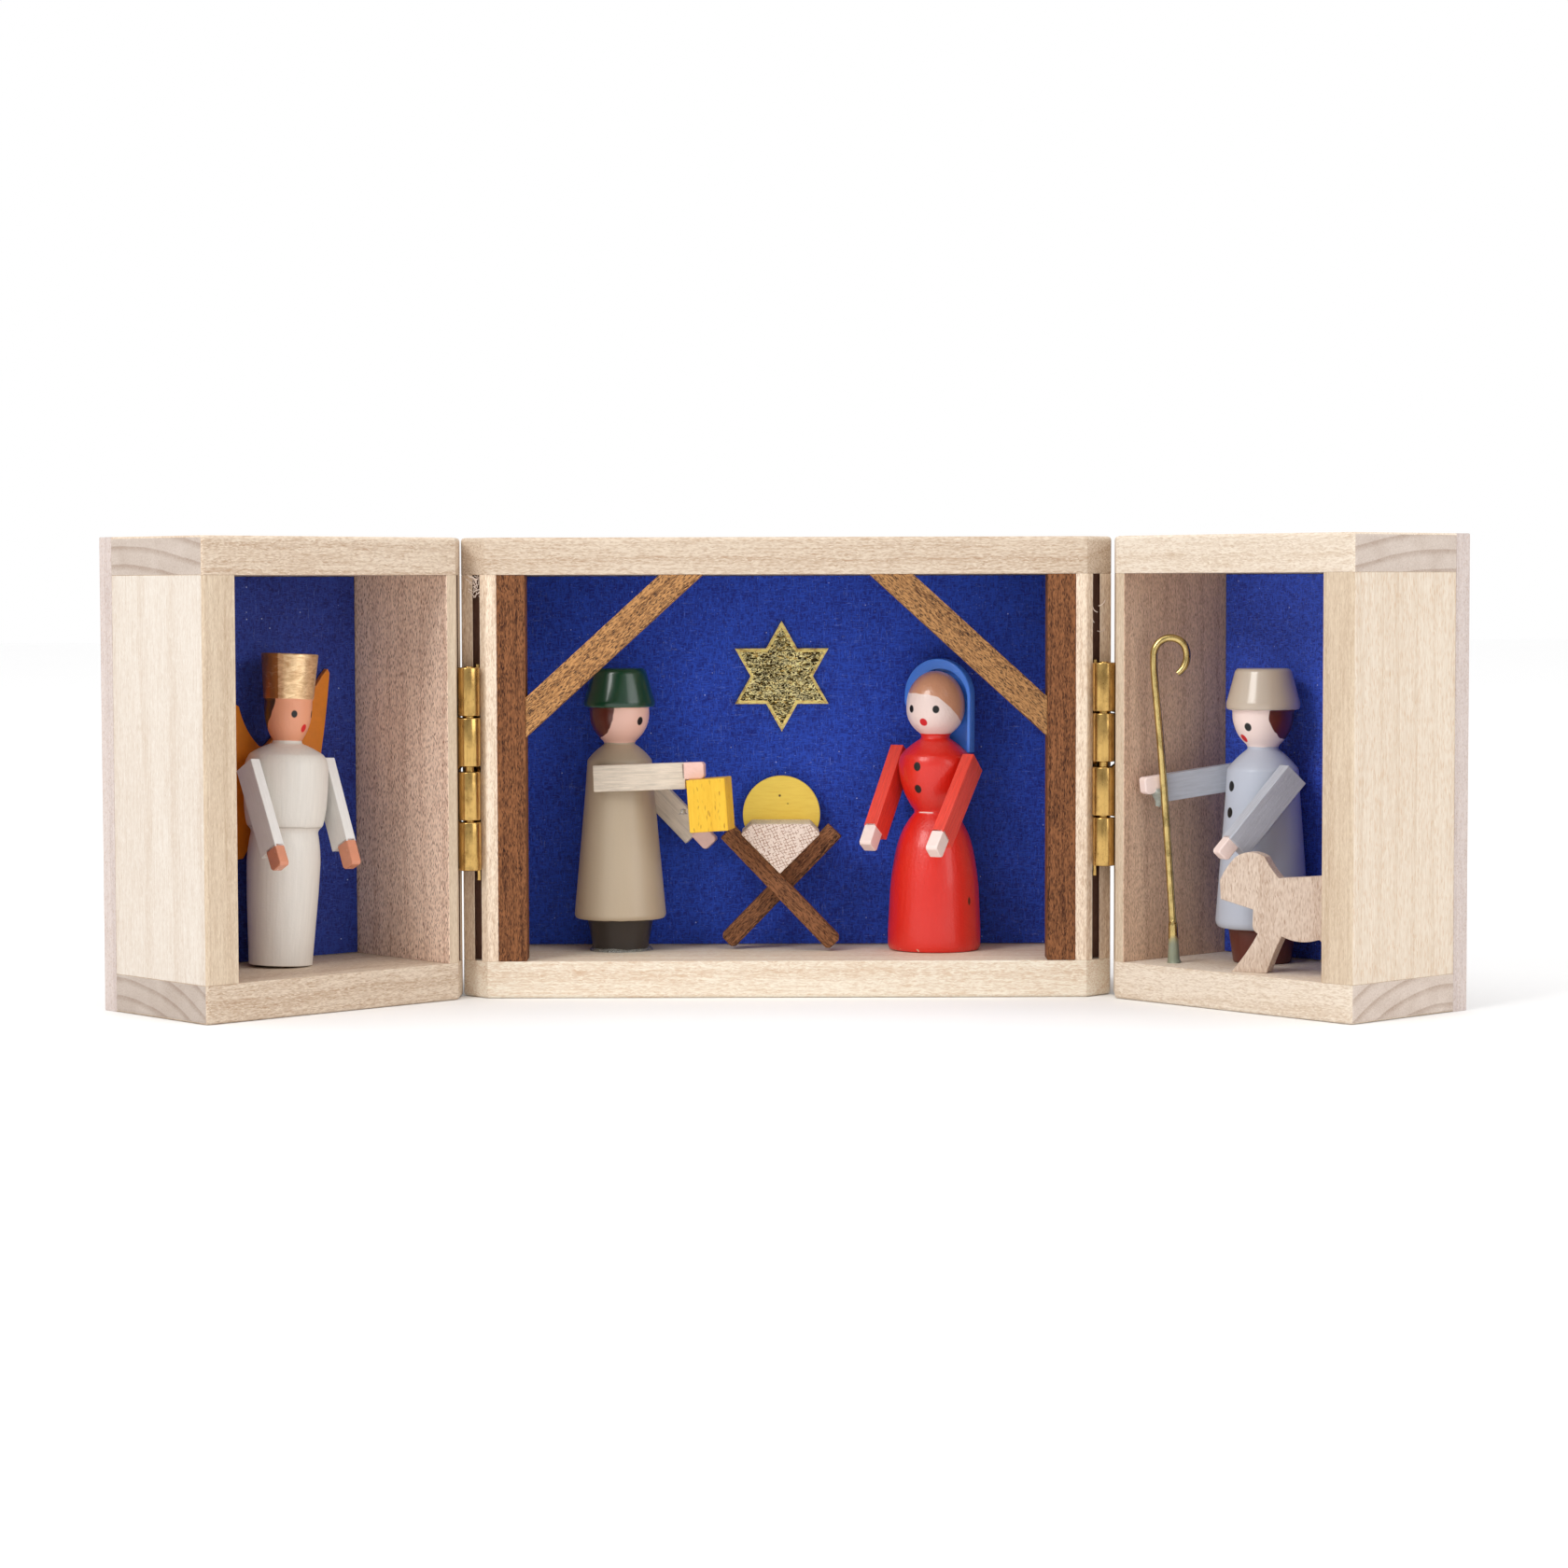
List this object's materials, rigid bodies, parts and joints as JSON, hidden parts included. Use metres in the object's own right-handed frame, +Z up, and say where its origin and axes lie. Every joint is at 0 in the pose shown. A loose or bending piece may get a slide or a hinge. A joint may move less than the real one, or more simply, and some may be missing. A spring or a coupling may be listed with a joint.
{
  "type": "nativity shrine box",
  "caption": "Small wooden folding shrine box: a centre tray and two hinged wing trays that open to show turned and painted nativity figures.",
  "frame": {"origin": "centre of the centre tray's underside", "axes": "+X to the right along the centre tray, +Y towards its back, +Z up; the figures face -Y"},
  "size_m": [0.1422, 0.0456, 0.0495],
  "materials": {
    "maple": "fine sanded bare maple",
    "pale_beech": "bare beech with short fleck lines",
    "stained_wood": "dark brown stained wood",
    "oiled_wood": "mid brown stained wood",
    "blue_paper": "matt ultramarine paper",
    "brass": "rolled bright brass",
    "gold_foil": "crinkled gold foil on card",
    "joseph_paint": "satin beige paint, dark green gloss hat",
    "mary_paint": "satin red paint",
    "veil_paint": "satin light blue paint",
    "angel_paint": "satin white paint, gold bronze crown",
    "wing_paint": "ochre paint",
    "shepherd_paint": "satin light grey-blue paint, beige gloss hat",
    "yellow_paint": "matt yellow stain showing the grain"
  },
  "bodies": {
    "center_box": {"center_top_board": "maple", "center_bottom_board": "maple", "center_left_side": "maple", "center_right_side": "maple", "center_back_panel": "maple", "center_blue_paper": "blue_paper", "left_post": "stained_wood", "right_post": "stained_wood", "left_brace": "oiled_wood", "right_brace": "oiled_wood", "star": "gold_foil", "crib_front_leg": "stained_wood", "crib_back_leg": "stained_wood", "crib_trough": "pale_beech", "crib_halo": "yellow_paint", "joseph_body": "joseph_paint", "joseph_right_arm": "joseph_paint", "joseph_left_arm": "joseph_paint", "lantern": "yellow_paint", "mary_body": "mary_paint", "mary_right_arm": "mary_paint", "mary_left_arm": "mary_paint", "mary_veil": "veil_paint", "left_hinge_center_leaf": "brass", "right_hinge_center_leaf": "brass", "left_hinge_pin": "brass", "right_hinge_pin": "brass"},
    "left_wing": {"left_wing_top_board": "maple", "left_wing_bottom_board": "maple", "left_wing_outer_side": "maple", "left_wing_hinge_side": "maple", "left_wing_back_panel": "maple", "left_wing_blue_paper": "blue_paper", "left_hinge_wing_leaf": "brass", "angel_body": "angel_paint", "angel_right_arm": "angel_paint", "angel_left_arm": "angel_paint", "angel_wings": "wing_paint"},
    "right_wing": {"right_wing_top_board": "maple", "right_wing_bottom_board": "maple", "right_wing_outer_side": "maple", "right_wing_hinge_side": "maple", "right_wing_back_panel": "maple", "right_wing_blue_paper": "blue_paper", "right_hinge_wing_leaf": "brass", "shepherd_body": "shepherd_paint", "shepherd_right_arm": "shepherd_paint", "shepherd_left_arm": "shepherd_paint", "shepherd_crook": "brass", "sheep": "pale_beech"}
  },
  "joints": [
    {"name": "left_wing_hinge", "type": "hinge", "parent": "center_box", "child": "left_wing", "pos_m": [-0.034, -0.01031, 0.02475], "axis": [0, 0, 1], "range_deg": [-2.5, 136.6]},
    {"name": "right_wing_hinge", "type": "hinge", "parent": "center_box", "child": "right_wing", "pos_m": [0.034, -0.01031, 0.0251], "axis": [0, 0, -1], "range_deg": [-7, 132.06]}
  ]
}
